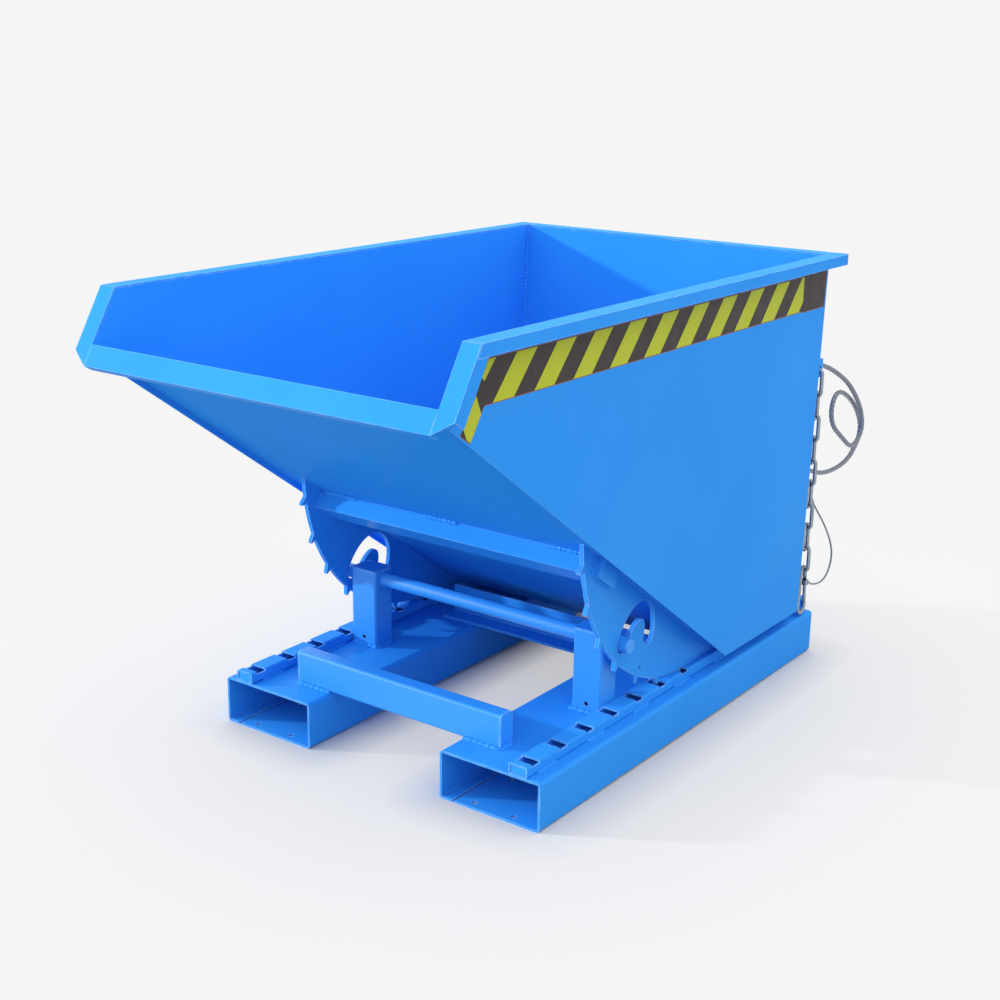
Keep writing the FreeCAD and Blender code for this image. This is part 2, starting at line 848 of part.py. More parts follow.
def bent_wire(points, diameter, normal, closed):
    """Wire along the corners of a flat path, mitred at each corner."""
    rings = []
    for index, point in enumerate(points):
        first = index == 0 and not closed
        final = index == len(points) - 1 and not closed
        after = points[(index + 1) % len(points)] - point
        before = point - points[index - 1]
        before = after if first else before
        after = before if final else after
        before = Vector(before).normalize()
        after = Vector(after).normalize()
        along = before + after
        along.normalize()
        across = normal.cross(along) * (1 / along.dot(before))
        rings.append([point + across * a + normal * b for a, b in wire_offsets(diameter, wire_sides)])
    followers = rings[1:] + rings[:1] if closed else rings[1:]
    faces = []
    for ring, following in zip(rings, followers):
        for corner in range(wire_sides):
            beside = (corner + 1) % wire_sides
            faces.append(flat_face([ring[corner], ring[beside], following[beside], following[corner]]))
    if not closed:
        faces.append(flat_face(rings[0]))
        faces.append(flat_face(rings[-1]))
    solid = Part.Solid(Part.Shell(faces))
    if solid.Volume < 0:
        solid.reverse()
    return solid


def flat_face(corners):
    return Part.Face(Part.makePolygon(corners + corners[:1]))


def round_points(centre, radius, first, last, steps):
    """Points on a round in the YZ plane, with angles counted from +Y."""
    points = []
    for step in range(steps + 1):
        turn = first + (last - first) * step / steps
        points.append(centre + Vector(0, radius * math.cos(turn), radius * math.sin(turn)))
    return points


def chain_link(index):
    """Long link, every second one turned by a quarter."""
    bend = (chain_inner_width + chain_wire) / 2
    reach = (chain_pitch + chain_wire) / 2 - bend
    rise = Vector(0, 0, reach)
    path = round_points(rise, bend, 0, math.pi, crown_steps)
    path += round_points(-rise, bend, math.pi, 2 * math.pi, crown_steps)
    link = bent_wire(path, chain_wire, Vector(1, 0, 0), True)
    link.rotate(Vector(0, 0, 0), Vector(0, 0, 1), 90 * ((index + 1) % 2))
    link.translate(Vector(chain_x, chain_y, chain_top - bend - reach - index * chain_step))
    return link


hook_top = chain_top - chain_count * chain_step + (hook_wire - chain_wire) / 2
hook_low = hook_top - hook_length


hook_tilt = math.asin((hook_bow_radius - hook_top_radius) / (hook_length - hook_bow_radius - hook_top_radius))


def hook_path(height, side):
    """Point on the straight side of the snap hook at a height above its lowest centre point."""
    out = hook_bow_radius * math.cos(hook_tilt)
    low = hook_bow_radius + hook_bow_radius * math.sin(hook_tilt)
    y = chain_y + side * (out - (height - low) * math.tan(hook_tilt))
    return Vector(chain_x, y, hook_low + height)


def tube_along(edges, diameter, sides):
    """Round tube along joined edges."""
    path = Part.Wire(edges)
    first = edges[0]
    start = first.valueAt(first.FirstParameter)
    aim = first.tangentAt(first.FirstParameter)
    return path.makePipeShell([wire_ring(diameter, start, aim, sides)], True, False)


def hook_body():
    """Pear-shaped snap hook, open at the rear between the gate's pivot and the nose."""
    pivot = hook_path(gate_height, 1)
    top = Vector(chain_x, chain_y, hook_top - hook_top_radius)
    bow = Vector(chain_x, chain_y, hook_low + hook_bow_radius)
    path = [pivot]
    path += round_points(top, hook_top_radius, hook_tilt, math.pi - hook_tilt, crown_steps)
    path += round_points(bow, hook_bow_radius, math.pi - hook_tilt, 2 * math.pi + hook_tilt, bow_steps)
    path += [hook_path(hook_nose, 1)]
    wire = bent_wire(path, hook_wire, Vector(1, 0, 0), False)
    body = wire.fuse(across_hook(hook_boss, hook_boss_width, pivot)).removeSplitter()
    half = gate_tongue / 2 + gate_play
    z1 = pivot.z + gate_tongue_round / 2 + gate_play
    slot = block(chain_x - half, chain_x + half, pivot.y - hook_boss, pivot.y + hook_boss,
                 pivot.z - hook_boss, z1)
    bore = across_hook(gate_pin + 2 * pin_clearance, hook_boss_width + 2 * overrun, pivot)
    return body.cut(slot).cut(bore)


def across_hook(diameter, width, place):
    """Rod across the snap hook, centred on it."""
    return x_rod(diameter, chain_x - width / 2, chain_x + width / 2, place.y, place.z)


def hook_gate():
    """Gate rod that closes the snap hook, with a flat tongue on its pin."""
    pivot = hook_path(gate_height, 1)
    rod = tube_along([Part.makeLine(pivot, hook_path(hook_nose + gate_end_gap, 1))], gate_wire, wire_sides)
    for side in (-1, 1):
        x0 = chain_x + side * (gate_tongue + gate_wire) / 2 - gate_wire / 2
        rod = rod.cut(block(x0, x0 + gate_wire, pivot.y - hook_boss, pivot.y + hook_boss,
                            pivot.z - hook_boss / 2 - gate_end_gap, pivot.z + hook_boss))
    gate = rod.fuse(across_hook(gate_tongue_round, gate_tongue, pivot)).removeSplitter()
    return gate.cut(across_hook(gate_pin + 2 * pin_clearance, hook_boss_width, pivot))


def cord(points, diameter, name):
    """Tube of straight runs and tangent arcs, each arc as large as its two runs allow."""
    edges = []
    radii = []
    start = points[0]
    for before, corner, after in zip(points, points[1:], points[2:]):
        back = before - corner
        ahead = after - corner
        shorter = min(back.Length, ahead.Length)
        back.normalize()
        ahead.normalize()
        turn = math.pi - back.getAngle(ahead)
        reach = bend_share * shorter
        radius = reach / math.tan(turn / 2)
        inward = back + ahead
        inward.normalize()
        centre = corner + inward * (radius / math.cos(turn / 2))
        enter = corner + back * reach
        leave = corner + ahead * reach
        edges.append(Part.makeLine(start, enter))
        edges.append(Part.Arc(enter, centre - inward * radius, leave).toShape())
        radii.append(round(radius))
        start = leave
    edges.append(Part.makeLine(start, points[-1]))
    tube = tube_along(edges, diameter, cord_sides)
    length = sum(e.Length for e in edges)
    section = wire_area(diameter, cord_sides)
    share = round(tube.Volume / section / length, 4)
    print(name, "length", round(length), "radii", radii, "volume share", share)
    print(name, "least gap to itself", round(self_gap(edges, diameter), 1))
    return tube


def self_gap(edges, diameter):
    """Least free distance between stretches of a cord that are well apart along it."""
    spacing = diameter / 2
    samples = []
    run = 0.0
    for edge in edges:
        for point in edge.discretize(Distance=spacing):
            samples.append((run, point))
            run += spacing
    apart = 4 * diameter
    least = run
    for index, (here, point) in enumerate(samples):
        for there, other in samples[index + 1:]:
            if there - here > apart:
                least = min(least, point.distanceToPoint(other) - diameter)
    return least


def ferrule_end(place):
    """Outer end of a rope ferrule on the rear wall."""
    across, z = place
    return Vector(chain_x + across, rear_face(z) + rope_ferrule_length, z)


def rope_ferrule_piece(place):
    """Sleeve from the rear wall that the rope is pressed into."""
    end = ferrule_end(place)
    low = end.z - rope_ferrule
    high = end.z + rope_ferrule
    length = rope_ferrule_length + rope_ferrule
    sleeve = Part.makeCylinder(rope_ferrule / 2, length, end - Vector(0, length, 0), Vector(0, 1, 0))
    wall = yz_prism([
        (rear_face(low) - 2 * rope_ferrule, low),
        (rear_face(low), low),
        (rear_face(high), high),
        (rear_face(high) - 2 * rope_ferrule, high),
    ], end.x - rope_ferrule, end.x + rope_ferrule)
    return sleeve.cut(wall)


def led_route(first, first_aim, route, last, last_aim, lead):
    """Points of a cord that leaves both its ends straight."""
    middle = [Vector(chain_x + x, chain_y + y, z) for x, y, z in route]
    return [first, first + first_aim * lead] + middle + [last + last_aim * lead, last]


def falling(angle):
    """Direction to the rear that falls by an angle."""
    return Vector(0, math.cos(math.radians(angle)), -math.sin(math.radians(angle)))


def lanyard_ends():
    """Middle, radius and direction of what the lanyard's ends sit on: a link's leg and the hook's boss."""
    z = chain_top - lanyard_link * chain_step - chain_pitch / 2 - lanyard_drop
    leg = Vector(chain_x, chain_y + (chain_inner_width + chain_wire) / 2, z)
    return [
        (leg, chain_wire / 2, falling(lanyard_upper_fall)),
        (hook_path(gate_height, 1), hook_boss / 2, falling(lanyard_lower_fall)),
    ]


def lanyard_ferrules():
    """Sleeves on both ends of the lanyard, shaped to the link and the boss that they sit on."""
    pieces = []
    for middle, radius, aim in lanyard_ends():
        length = radius + lanyard_ferrule_length
        pieces.append(Part.makeCylinder(lanyard_ferrule / 2, length, middle, aim))
    middle, radius, aim = lanyard_ends()[0]
    leg = Part.makeCylinder(radius + pin_clearance, chain_pitch, middle - Vector(0, 0, chain_pitch / 2))
    boss = across_hook(hook_boss + 2 * pin_clearance, hook_boss_width, hook_path(gate_height, 1))
    return Part.makeCompound([pieces[0].cut(leg), pieces[1].cut(boss)])


def lanyard_points():
    ends = []
    for middle, radius, aim in lanyard_ends():
        ends.append((middle + aim * (radius + lanyard_ferrule_length), aim))
    (first, first_aim), (last, last_aim) = ends
    return led_route(first, first_aim, lanyard_route, last, last_aim, lanyard_lead)


os.makedirs("parts", exist_ok=True)

# Base
pocket = fork_pocket()
save("fork_pocket_right", pocket)
other_pocket = pocket.copy()
other_pocket.translate(Vector(pocket_width - base_width, 0, 0))
save("fork_pocket_left", other_pocket)
save_pair("rail", rail())
save("rail_end_caps", Part.makeCompound(rail_caps() + [mirrored(cap) for cap in rail_caps()]))
save("front_cross_tube", front_cross_tube())
save("cross_tube_caps", both(cross_tube_cap()))
save("cross_angle", cross_angle())
save("rear_cross_bar", rear_bar())
save_pair("post", post())
save("post_caps", both(post_cap()))
save("tie_axle", tie_axle())
save("latch_catch_lugs", both(catch_lug()))
save("latch_catch_pin", x_rod(catch_pin, -catch_lug_gap - catch_lug_sheet, catch_lug_gap + catch_lug_sheet,
                              catch_y, catch_z))
save("chain_lug", chain_lug())

# Tub
save_pair("side_wall", side_wall())
save("tub_floor", tub_floor())
save("rear_wall", rear_wall())
save_pair("rim", rim_side())
save("rim_rear", rim_rear())
save_pair("front_edge", front_edge())
save("pouring_lip", lip())
save_pair("rocker", rocker())
save("floor_stiffener", stiffener())
save("latch_bracket", both(latch_ear()))
save("latch_pivot_pin", headed_pin(latch_pin, latch_sheet / 2 + latch_side_gap + latch_ear_sheet,
                                   latch_pivot_y, latch_pivot_z))
save("chain_tab", chain_tab())
save("rope_ferrules", Part.makeCompound([rope_ferrule_piece(rope_upper), rope_ferrule_piece(rope_lower)]))
rope_first = ferrule_end(rope_upper)
rope_last = ferrule_end(rope_lower)
rope_points = led_route(rope_first, falling(0), rope_route, rope_last, falling(0), rope_lead)
save("release_rope", cord(rope_points, rope_diameter, "release_rope"))
save("roll_axis_plugs", both(roll_plug()))
save("latch_lever", latch_lever())

# Chain
links = [chain_link(index) for index in range(chain_count)]
save("chain_top_link", links[0])
save("chain_links", Part.makeCompound(links[1:]))
save("snap_hook", hook_body())
save("snap_hook_gate", hook_gate())
save("snap_hook_pin", across_hook(gate_pin, hook_boss_width, hook_path(gate_height, 1)))
save("lanyard_ferrules", lanyard_ferrules())
save("lanyard", cord(lanyard_points(), lanyard_diameter, "lanyard"))
swing_z = chain_top - chain_step
gate_place = hook_path(gate_height, 1)
print("roll axis", round(contact_y - mid_y, 3), round(roll_z, 3), "origin shift", round(mid_y, 3))
print("latch pivot", round(latch_pivot_y - mid_y, 3), latch_pivot_z)
print("chain swing", chain_x, round(chain_y - mid_y, 3), round(swing_z, 3))
print("gate pivot", round(gate_place.y - mid_y, 3), round(gate_place.z, 3))
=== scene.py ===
import bpy
import json
import math
from mathutils import Matrix, Vector


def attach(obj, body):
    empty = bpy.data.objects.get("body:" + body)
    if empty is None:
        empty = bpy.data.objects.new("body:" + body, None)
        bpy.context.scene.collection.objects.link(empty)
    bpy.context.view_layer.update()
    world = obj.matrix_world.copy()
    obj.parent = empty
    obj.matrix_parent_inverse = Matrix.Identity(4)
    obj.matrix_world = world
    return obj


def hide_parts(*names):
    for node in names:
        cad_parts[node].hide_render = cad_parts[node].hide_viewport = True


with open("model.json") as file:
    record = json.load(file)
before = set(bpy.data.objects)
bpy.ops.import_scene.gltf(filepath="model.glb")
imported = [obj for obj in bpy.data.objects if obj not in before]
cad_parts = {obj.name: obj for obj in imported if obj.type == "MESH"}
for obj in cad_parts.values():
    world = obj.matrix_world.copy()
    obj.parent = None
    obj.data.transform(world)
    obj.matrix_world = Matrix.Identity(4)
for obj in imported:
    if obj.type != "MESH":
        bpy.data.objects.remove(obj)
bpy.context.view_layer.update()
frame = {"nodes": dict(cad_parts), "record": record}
scene = bpy.context.scene

# Sizes are in metres. Places are written as in the part's source: y from the front of the fork
# pockets, z from the ground.
FRONT = -0.352974

# Camera of the photograph
CAMERA_PLACE = (1.61495, -2.20643, 1.23380)
CAMERA_AZIMUTH = 36.07
CAMERA_ELEVATION = 16.74
CAMERA_ROLL = 0.81
CAMERA_LENS = 56.065
CAMERA_SENSOR = 36.0

# Release rope and lanyard
ROPE_DIAMETER = 0.010
ROPE_LAY = 0.065
ROPE_ROUTE = [
    (0.331, 0.956551, 0.612),
    (0.333, 0.990, 0.607),
    (0.341, 1.044, 0.584),
    (0.348, 1.102, 0.549),
    (0.354, 1.153, 0.492),
    (0.354, 1.171, 0.440),
    (0.352, 1.128, 0.407),
    (0.349, 1.076, 0.443),
    (0.346, 1.029, 0.477),
    (0.344, 1.025, 0.519),
    (0.340, 1.062, 0.544),
    (0.337, 1.129, 0.516),
    (0.336, 1.177, 0.480),
    (0.335, 1.206, 0.438),
    (0.334, 1.194, 0.404),
    (0.331, 1.150, 0.369),
    (0.324, 1.054, 0.363),
    (0.316, 0.994800, 0.386),
    (0.316, 0.946800, 0.386),
]
LANYARD_DIAMETER = 0.004
LANYARD_LAY = 0.028
LANYARD_ROUTE = [
    (0.345, 0.967293, 0.328090),
    (0.345, 0.988506, 0.306877),
    (0.346, 1.034, 0.262),
    (0.348, 1.070, 0.212),
    (0.348, 1.078, 0.174),
    (0.347, 1.053, 0.138),
    (0.345, 1.000, 0.139),
    (0.345, 0.974999, 0.152706),
]
ROUTE_STEPS = 16
ROUTE_ORDER = 3

# Strands of a cord, and the points of each one's outline as shares of its width
STRAND_COUNT = 6
STRAND_SHARES = (-0.5, -0.28, -0.1, 0.1, 0.28)

# Chain links
CHAIN_X = 0.345
CHAIN_Y = 0.945979
LINK_TOP = 0.605604
LINK_STEP = 0.0456
LINK_COUNT = 9
LINK_WIRE = 0.008
LINK_BEND = 0.010
LINK_REACH = 0.0172
LINK_SIDES = 14
LINK_BEND_STEPS = 12
LINK_LEG_SHARES = (0.66, 0.33, 0.12, 0.0, -0.12, -0.33, -0.66)

# Swelling of a link's weld: its ring on the middle of a leg, how many rings it reaches, its height
LINK_WELD_RING = LINK_BEND_STEPS + 1 + len(LINK_LEG_SHARES) // 2
LINK_WELD_REACH = 3
LINK_WELD_SWELL = 0.13

# Snap hook and its gate
HOOK_LOW = 0.095204
HOOK_LENGTH = 0.100
HOOK_WIRE = 0.008
HOOK_TOP_RADIUS = 0.009
HOOK_TOP_STEPS = 14
HOOK_BOW_RADIUS = 0.015
HOOK_BOW_STEPS = 20
HOOK_TILT = math.asin((HOOK_BOW_RADIUS - HOOK_TOP_RADIUS)
                      / (HOOK_LENGTH - HOOK_BOW_RADIUS - HOOK_TOP_RADIUS))
HOOK_SIDES = 18
HOOK_NOSE = 0.022
HOOK_NOSE_ROUND = 0.0025
HOOK_NOSE_STEPS = (0.0024, 0.0012, 0.0004, 0)
HOOK_NOSE_FLAT = 0.05
HOOK_BOSS = 0.014
HOOK_BOSS_WIDTH = 0.012
HOOK_BOSS_ROUND = 0.001
HOOK_BOSS_CORNER = 0.0003
HOOK_SLOT = 0.005
GATE_HEIGHT = 0.064
GATE_WIRE = 0.007
GATE_SIDES = 20
GATE_CLEARANCE = 0.001
GATE_TIP = 0.82
GATE_TIP_STEPS = (0.0, 0.0006, 0.002)
GATE_SHOULDER_STEPS = (0.002, 0.0008, 0.0)
GATE_TONGUE = 0.004
GATE_TONGUE_STEP = 0.0002
GATE_EYE = 0.010
TURNED_SIDES = 28

# Shape of a weld bead. Pitches, waves and ends are counted in bead radii, except the grain.
BEAD_SIDES = 10
BEAD_STEP = 0.3
BEAD_LEAST_STEPS = 6
BEAD_BODY = 0.84
BEAD_RIPPLE = 0.16
BEAD_RIPPLE_PITCH = 0.95
BEAD_WAVE = 0.13
BEAD_WAVE_RATE = 2.3
BEAD_WAVE_SHIFT = 91
BEAD_GRAIN = 0.06
BEAD_GRAIN_RATE = 811
BEAD_END = 1.4
BEAD_END_FLAT = 0.02

# Weld seams from place to place. Those on both sides are written for the right one.
RAIL_BEAD = 0.0032
RAIL_BEAD_Z = 0.0882
RAIL_STITCH = 0.055
CROSS_STITCH = 0.030
RAIL_STITCHES = [
    ((0.3257, 0.03, RAIL_BEAD_Z), (0.3257, 0.96, RAIL_BEAD_Z), 7, RAIL_STITCH),
    ((0.2883, 0.03, RAIL_BEAD_Z), (0.2883, 0.255, RAIL_BEAD_Z), 2, RAIL_STITCH),
    ((0.2883, 0.345, RAIL_BEAD_Z), (0.2883, 0.96, RAIL_BEAD_Z), 4, RAIL_STITCH),
    ((0.152, 0.4868, RAIL_BEAD_Z), (0.228, 0.4868, RAIL_BEAD_Z), 2, CROSS_STITCH),
    ((0.152, 0.9762, RAIL_BEAD_Z), (0.228, 0.9762, RAIL_BEAD_Z), 2, CROSS_STITCH),
]
FOOT_BEAD = 0.0048
FOOT_BEAD_Z = 0.0885
FOOT_SEAMS = [
    ((0.151, 0.0590, FOOT_BEAD_Z), (0.229, 0.0590, FOOT_BEAD_Z)),
    ((0.2303, 0.060, FOOT_BEAD_Z), (0.2303, 0.093, FOOT_BEAD_Z)),
    ((0.151, 0.0940, FOOT_BEAD_Z), (0.229, 0.0940, FOOT_BEAD_Z)),
    ((0.222, 0.2737, FOOT_BEAD_Z), (0.287, 0.2737, FOOT_BEAD_Z)),
    ((0.2262, 0.276, FOOT_BEAD_Z), (0.2262, 0.323, FOOT_BEAD_Z)),
    ((0.229, 0.3257, FOOT_BEAD_Z), (0.286, 0.3257, FOOT_BEAD_Z)),
]
LUG_SEAMS = [
    ((0.3318, 0.944, FOOT_BEAD_Z), (0.3318, 0.980, FOOT_BEAD_Z)),
    ((0.3382, 0.944, FOOT_BEAD_Z), (0.3382, 0.980, FOOT_BEAD_Z)),
]
BAR_BEAD = 0.0040
BAR_BEAD_Y = 0.2121
BAR_BEAD_Z = 0.4046
BAR_SEAMS = [
    ((-0.292, BAR_BEAD_Y, BAR_BEAD_Z), (-0.215, BAR_BEAD_Y, BAR_BEAD_Z)),
    ((-0.053, BAR_BEAD_Y, BAR_BEAD_Z), (0.020, BAR_BEAD_Y, BAR_BEAD_Z)),
    ((0.214, BAR_BEAD_Y, BAR_BEAD_Z), (0.292, BAR_BEAD_Y, BAR_BEAD_Z)),
]
TUB_BEAD = 0.0030
TUB_SEAMS = [
    ((0.3034, 0.1955, 0.3783), (0.3034, 0.2125, 0.4035)),
    ((0.3126, 0.1955, 0.3783), (0.3126, 0.2125, 0.4035)),
    ((0.3126, 0.1960, 0.3766), (0.3126, 0.2420, 0.3438)),
    ((0.3505, -0.2585, 0.7440), (0.3505, 0.6180, 0.1178)),
    ((0.3505, 0.9047, 0.1215), (0.3505, 0.9355, 0.8270)),
]
TAB_SEAMS = [
    ((0.3418, 0.9300, 0.592), (0.3418, 0.9312, 0.624)),
    ((0.3482, 0.9300, 0.592), (0.3482, 0.9312, 0.624)),
]

# Hazard tape on the side walls, in (y, z)
WALL_X = 0.355
TAPE_EDGE = 0.0016
TAPE_BAND = [(-0.155, 0.801), (0.834, 0.801), (0.834, 0.737), (-0.195, 0.737)]
TAPE_LEG = [(-0.170, 0.777), (-0.160, 0.765), (-0.165, 0.737), (-0.196, 0.689), (-0.217, 0.703)]
TAPE_LEG_YELLOW = [
    (-0.184, 0.754), (-0.172, 0.726), (-0.196, 0.689), (-0.205, 0.695), (-0.212, 0.711),
]
TAPE_BLOCK = [(0.834, 0.806), (0.932, 0.806), (0.929, 0.735), (0.834, 0.735)]
STRIPE_START = -0.145
STRIPE_WIDTH = 0.0507
STRIPE_LEAN = 0.89
STRIPE_COUNT = 11

# Thickness of a foil, and how many foils high each part of the tape lies
TAPE_FOIL = 0.0002
EDGE_LAYERS = 1
BAND_LAYERS = 2
BLOCK_LAYERS = 3
STRIPE_LAYERS = 3
LEG_LAYERS = 4
LEG_YELLOW_LAYERS = 5

# Paints: width of the pale edges, which are partly rubbed wear and partly a painted highlight,
# weight and roughness of the gloss
PAINT_FINISHES = {
    "blue_paint": (0.0020, 0.16, 0.18),
    "blue_paint_walls": (0.0007, 0.16, 0.18),
    "blue_paint_tubes": (0.0016, 1.0, 0.38),
    "blue_paint_tub_floor": (0.0020, 0.04, 0.18),
}
PAINT = (0.034, 0.305, 0.870)
PAINT_DEEP = (0.026, 0.280, 0.840)
# Pale edge colour: partly paint rubbed thin, partly a painted highlight along the edges
PAINT_WEAR_AND_HIGHLIGHT = (0.4200, 0.6600, 0.9200)
PAINT_IOR = 1.45

# CAD nodes with a paint of their own. On walls with the roll plugs in them a wide pale edge,
# rubbed wear and painted highlight, would draw a ring, tubes shine more at their round corners,
# and the floor shines less.
OWN_PAINT = {
    "side_wall_left": "blue_paint_walls",
    "side_wall_right": "blue_paint_walls",
    "roll_axis_plugs": "blue_paint_walls",
    "front_cross_tube": "blue_paint_tubes",
    "post_left": "blue_paint_tubes",
    "post_right": "blue_paint_tubes",
    "tie_axle": "blue_paint_tubes",
    "tub_floor": "blue_paint_tub_floor",
}

# Other colours, dark and light or clean and worn
ZINC_DARK = (0.27, 0.305, 0.35)
ZINC_LIGHT = (0.38, 0.425, 0.47)
ROPE_DARK = (0.20, 0.22, 0.27)
ROPE_LIGHT = (0.32, 0.355, 0.42)
YELLOW = (0.450, 0.510, 0.022)
YELLOW_WORN = (0.40, 0.43, 0.05)
YELLOW_ROUGHNESS = 0.42
BLACK = (0.044, 0.034, 0.032)
BLACK_WORN = (0.070, 0.058, 0.054)
BLACK_ROUGHNESS = 0.45
BROWN = (0.230, 0.105, 0.080)
BROWN_WORN = (0.28, 0.15, 0.11)
BROWN_ROUGHNESS = 0.5
FOIL_SMOOTHER = 0.06
FOIL_ROUGHER = 0.08

# Range that most noise values lie in, and the range of a share
NOISE_RANGE = (0.3, 0.7)
SHARE = (0.0, 1.0)

# Dot products of true and rounded normal, on flat sheet and on a sharp edge
EDGE_RANGE = (0.98, 0.80)
EDGE_SAMPLES = 4

# Plates and folded sheets without holes, whose edges are softened
FOLDED_SHEETS = (
    "cross_angle", "floor_stiffener", "front_edge_left", "front_edge_right", "pouring_lip",
    "rail_end_caps", "rear_cross_bar", "rear_wall", "rim_left", "rim_rear", "rim_right",
    "tub_floor",
)
SOFT_EDGE = 0.0006
SOFT_SEGMENTS = 2
SOFT_FROM_ANGLE = 40
SOFT_MERGE = 0.00001
SOFT_NORMAL_WEIGHT = 100

# Light
SUN_TOWARD = (-0.82, -0.49, 0.29)
SUN_STRENGTH = 2.4
SUN_ANGLE = 3.0
SKY_LOW = 1.02
SKY_HIGH = 1.60
BACKDROP = (0.913, 0.913, 0.913)

# Floor, and how much of the backdrop's tone it has by distance from the fork pockets, whose
# places here are measured from the frame's origin
FLOOR_SEEN = (0.62, 0.62, 0.62)
FLOOR_BOUNCE = (0.45, 0.45, 0.45)
FLOOR_RADIUS = 9.0
FLOOR_SIDES = 64
FLOOR_FADE = [(0.0, (0.0, 0.0, 0.0)), (0.10, (0.55, 0.55, 0.55)), (1.0, (1.0, 1.0, 1.0))]
POCKET_X = 0.250
POCKET_Y = 0.141
POCKET_WIDTH = 0.204
POCKET_LENGTH = 0.988


def at(x, y, z):
    """Place in the frame's axes."""
    return Vector((x, y + FRONT, z))


def add_camera():
    """Camera at the photograph's place, turned by its azimuth, elevation and roll."""
    data = bpy.data.cameras.new("photo_camera")
    data.sensor_width = CAMERA_SENSOR
    data.lens = CAMERA_LENS
    azimuth = math.radians(CAMERA_AZIMUTH)
    elevation = math.radians(CAMERA_ELEVATION)
    roll = math.radians(CAMERA_ROLL)
    back = Vector((math.sin(azimuth) * math.cos(elevation),
                   -math.cos(azimuth) * math.cos(elevation),
                   math.sin(elevation)))
    level = Vector((0, 0, 1)).cross(back).normalized()
    rise = back.cross(level)
    right = level * math.cos(roll) + rise * math.sin(roll)
    up = rise * math.cos(roll) - level * math.sin(roll)
    camera = bpy.data.objects.new("photo_camera", data)
    turn = Matrix((right, up, back)).transposed()
    camera.matrix_world = Matrix.Translation(Vector(CAMERA_PLACE)) @ turn.to_4x4()
    scene.collection.objects.link(camera)
    scene.camera = camera


# Mesh building

def new_object(name, verts, faces, smooth=True):
    """Object from vertices and faces. Smooth shading is for its four-sided faces only."""
    mesh = bpy.data.meshes.new(name)
    mesh.from_pydata([tuple(v) for v in verts], [], faces)
    mesh.update()
    for polygon in mesh.polygons:
        polygon.use_smooth = smooth and len(polygon.vertices) == 4
    obj = bpy.data.objects.new(name, mesh)
    scene.collection.objects.link(obj)
    return obj


def running_length(points):
    """Length of the line up to each of its points."""
    runs = [0.0]
    for before, here in zip(points, points[1:]):
        runs.append(runs[-1] + (here - before).length)
    return runs


def add_tube(verts, faces, points, ring_at, closed=False):
    """Tube along points; ring_at(index, run) gives each ring's offsets across the line."""
    count = len(points)
    runs = running_length(points)
    across = None
    first = len(verts)
    for index, point in enumerate(points):
        before = points[index - 1] if closed or index else points[0]
        after = points[(index + 1) % count] if closed or index + 1 < count else points[-1]
        along = (after - before).normalized()
        if across is None:
            across = along.orthogonal()
        across = (across - along * across.dot(along)).normalized()
        side = along.cross(across)
        ring = ring_at(index, runs[index])
        verts.extend(point + across * a + side * b for a, b in ring)
    size = len(ring)
    for index in range(count if closed else count - 1):
        low = first + index * size
        high = first + (index + 1) % count * size
        for k in range(size):
            n = (k + 1) % size
            faces.append((low + k, low + n, high + n, high + k))
    if not closed:
        faces.append(tuple(first + k for k in reversed(range(size))))
        faces.append(tuple(first + (count - 1) * size + k for k in range(size)))


def circle(radius, sides):
    """Corners of a regular polygon."""
    turns = [2 * math.pi * k / sides for k in range(sides)]
    return [(radius * math.cos(t), radius * math.sin(t)) for t in turns]


def add_turned(verts, faces, origin, outline):
    """Solid turned about the X axis through origin; outline lists (x, radius)."""
    first = len(verts)
    for x, radius in outline:
        verts.extend(origin + Vector((x, b, a)) for a, b in circle(radius, TURNED_SIDES))
    for row in range(len(outline) - 1):
        low = first + row * TURNED_SIDES
        high = low + TURNED_SIDES
        for k in range(TURNED_SIDES):
            n = (k + 1) % TURNED_SIDES
            faces.append((low + k, high + k, high + n, low + n))
    faces.append(tuple(first + k for k in range(TURNED_SIDES)))
    last = first + (len(outline) - 1) * TURNED_SIDES
    faces.append(tuple(last + k for k in reversed(range(TURNED_SIDES))))


# Cords

def route_line(name, route):
    """Points of the smooth line through a cord's route."""
    curve = bpy.data.curves.new(name + "_line", "CURVE")
    curve.dimensions = "3D"
    curve.resolution_u = ROUTE_STEPS
    spline = curve.splines.new("NURBS")
    spline.points.add(len(route) - 1)
    for point, place in zip(spline.points, route):
        point.co = (*at(*place), 1.0)
    spline.order_u = ROUTE_ORDER
    spline.use_endpoint_u = True
    guide = bpy.data.objects.new(name + "_line", curve)
    mesh = bpy.data.meshes.new_from_object(guide)
    points = [v.co.copy() for v in mesh.vertices]
    bpy.data.objects.remove(guide)
    bpy.data.meshes.remove(mesh)
    return points


def strand_ring(radius, turn):
    """Outline of the strands laid round a core, turned by turn."""
    centre = radius * 2 / 3
    strand = radius / 3
    pitch = 2 * math.pi / STRAND_COUNT
    ring = []
    for index in range(STRAND_COUNT):
        for share in STRAND_SHARES:
            swing = share * pitch
            height = math.sqrt(max(0.0, strand**2 - (centre * math.sin(swing)) ** 2))
            reach = centre * math.cos(swing) + height
            angle = turn + index * pitch + swing
            ring.append((reach * math.cos(angle), reach * math.sin(angle)))
    return ring


def add_cord(name, node, body, route, diameter, lay):
    """Laid wire rope along a route, in place of a CAD node."""
    points = route_line(name, route)
    verts, faces = [], []
    add_tube(verts, faces, points,
             lambda index, run: strand_ring(diameter / 2, 2 * math.pi * run / lay))
    piece = new_object(name, verts, faces)
    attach(piece, body)
    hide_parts(node)
    return piece


# Chain and snap hook

